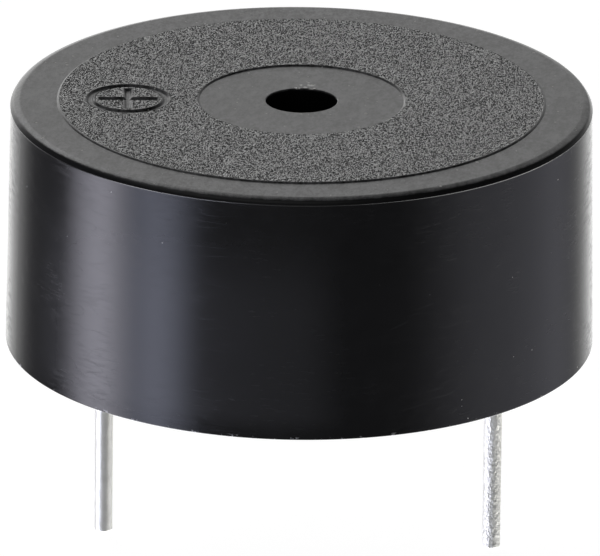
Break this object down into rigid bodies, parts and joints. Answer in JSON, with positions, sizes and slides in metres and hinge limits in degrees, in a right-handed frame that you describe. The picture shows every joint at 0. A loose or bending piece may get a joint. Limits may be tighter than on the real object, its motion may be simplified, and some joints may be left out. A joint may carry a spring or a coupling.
{
  "type": "piezo buzzer",
  "caption": "Round black piezo buzzer with a central sound hole, a grained top band, a polarity mark and two wire pins.",
  "frame": {"origin": "on the axis of the round housing, in the plane of its base rim, midway between the two pins", "axes": "+Z along the axis, out of the top face; +X from the positive pin to the negative pin"},
  "size_m": [0.024, 0.024, 0.0192],
  "materials": {
    "housing": "black moulded plastic, smooth, with a spark-eroded grain on the top band",
    "brass_plate": "rolled",
    "piezo_ceramic": "fired, matt",
    "fired_silver": "matt fired silver",
    "silicone": "cured silicone",
    "board_laminate": "glass-epoxy laminate",
    "copper": "copper",
    "tinned_wire": "bright tin over copper wire",
    "solder": "satin solder",
    "moulded_epoxy": "moulded epoxy",
    "tinned_leg": "matt tin",
    "chip_body": "glazed chip",
    "pale_insulation": "PVC insulation",
    "lead_wire": "tinned wire",
    "blue_insulation": "PVC insulation",
    "black_insulation": "PVC insulation",
    "potting": "cast epoxy"
  },
  "bodies": {
    "root": {"housing": "housing", "diaphragm_plate": "brass_plate", "piezo_ceramic": "piezo_ceramic", "main_electrode": "fired_silver", "feedback_electrode": "fired_silver", "diaphragm_adhesive": "silicone", "circuit_board": "board_laminate", "copper_tracks": "copper", "positive_pin": "tinned_wire", "negative_pin": "tinned_wire", "pin_solder": "solder", "transistor_body": "moulded_epoxy", "transistor_legs": "tinned_leg", "collector_resistor": "chip_body", "base_resistor": "chip_body", "feedback_resistor": "chip_body", "resistor_caps": "tinned_leg", "component_solder": "solder", "drive_lead_insulation": "pale_insulation", "drive_lead_wire": "lead_wire", "feedback_lead_insulation": "blue_insulation", "feedback_lead_wire": "lead_wire", "ground_lead_insulation": "black_insulation", "ground_lead_wire": "lead_wire", "disc_solder": "solder", "board_solder": "solder", "potting": "potting"}
  },
  "joints": []
}
